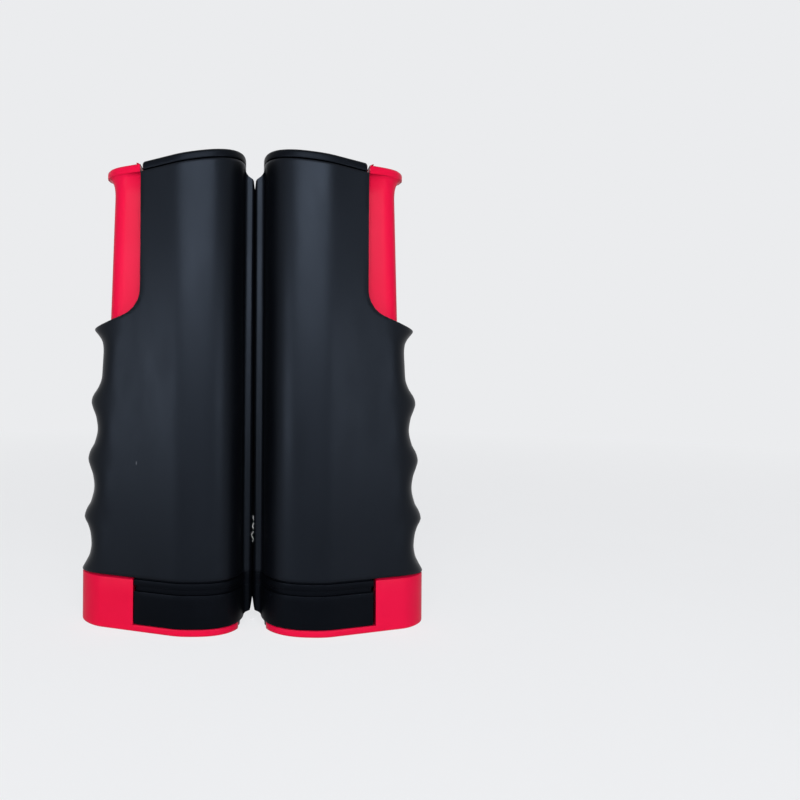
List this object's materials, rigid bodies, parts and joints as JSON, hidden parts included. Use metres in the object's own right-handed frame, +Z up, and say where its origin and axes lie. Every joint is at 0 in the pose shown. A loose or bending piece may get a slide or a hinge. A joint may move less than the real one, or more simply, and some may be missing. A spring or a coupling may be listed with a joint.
{
  "type": "table tennis net clamp",
  "caption": "Pair of squeeze-to-open table clamps in black and red plastic with a retracting table tennis net wound between them.",
  "frame": {"origin": "on the seam between the two closed posts, at the bottom of the lower jaws", "axes": "+Z up along the posts, +X from the seam towards the right post's grip, +Y towards the back"},
  "size_m": [0.1452, 0.045, 0.1965],
  "materials": {
    "black_shell": "fine satin moulding texture",
    "black_trim": "satin",
    "red_plastic": "semi-gloss",
    "pad_rubber": "matt",
    "spring_steel": "drawn wire",
    "axle_steel": "turned",
    "reel_plastic": "matt",
    "bush_plastic": "natural acetal",
    "net_fabric": "knotted nylon mesh with a white top tape",
    "screw_steel": "zinc plated"
  },
  "bodies": {
    "left_post": {"left_front_shell": "black_shell", "left_back_shell": "black_shell", "left_top_cap": "black_trim", "left_base_block": "black_trim", "left_upper_pad": "pad_rubber", "left_clamp_spring": "spring_steel", "left_reel_axle": "axle_steel", "left_net_tail": "net_fabric", "left_shell_screws": "screw_steel", "left_base_screws": "screw_steel"},
    "left_jaw": {"left_slider": "red_plastic", "left_lower_pad": "pad_rubber"},
    "left_reel": {"left_reel_tube": "reel_plastic", "left_bottom_bush": "bush_plastic", "left_top_bush": "bush_plastic", "left_reel_spring": "spring_steel", "left_net_roll": "net_fabric"},
    "right_post": {"right_front_shell": "black_shell", "right_back_shell": "black_shell", "right_top_cap": "black_trim", "right_base_block": "black_trim", "right_upper_pad": "pad_rubber", "right_clamp_spring": "spring_steel", "right_reel_axle": "axle_steel", "right_net_tail": "net_fabric", "right_shell_screws": "screw_steel", "right_base_screws": "screw_steel"},
    "right_jaw": {"right_slider": "red_plastic", "right_lower_pad": "pad_rubber"},
    "right_reel": {"right_reel_tube": "reel_plastic", "right_bottom_bush": "bush_plastic", "right_top_bush": "bush_plastic", "right_reel_spring": "spring_steel", "right_net_roll": "net_fabric"}
  },
  "joints": [
    {"name": "net_pull", "type": "slide", "parent": "left_post", "child": "right_post", "axis": [1, 0, 0], "range_m": [0, 1.6], "stiffness_N_per_m": 2, "springref_m": -3},
    {"name": "left_jaw_slide", "type": "slide", "parent": "left_post", "child": "left_jaw", "axis": [0, 0, -1], "range_m": [0, 0.045], "stiffness_N_per_m": 500, "springref_m": -0.03, "deforming": ["left_clamp_spring"]},
    {"name": "left_reel_spin", "type": "hinge", "parent": "left_post", "child": "left_reel", "pos_m": [-0.0259, 0, 0.1], "axis": [0, 0, 1], "range_deg": [-3600, 0]},
    {"name": "right_jaw_slide", "type": "slide", "parent": "right_post", "child": "right_jaw", "axis": [0, 0, -1], "range_m": [0, 0.045], "stiffness_N_per_m": 500, "springref_m": -0.03, "deforming": ["right_clamp_spring"]},
    {"name": "right_reel_spin", "type": "hinge", "parent": "right_post", "child": "right_reel", "pos_m": [0.0259, 0, 0.1], "axis": [0, 0, 1], "range_deg": [0, 3600]}
  ],
  "couplings": [
    {"joint": "left_reel_spin", "follows": "net_pull", "rad_per_m": -38.625},
    {"joint": "right_reel_spin", "follows": "net_pull", "rad_per_m": 38.625}
  ]
}
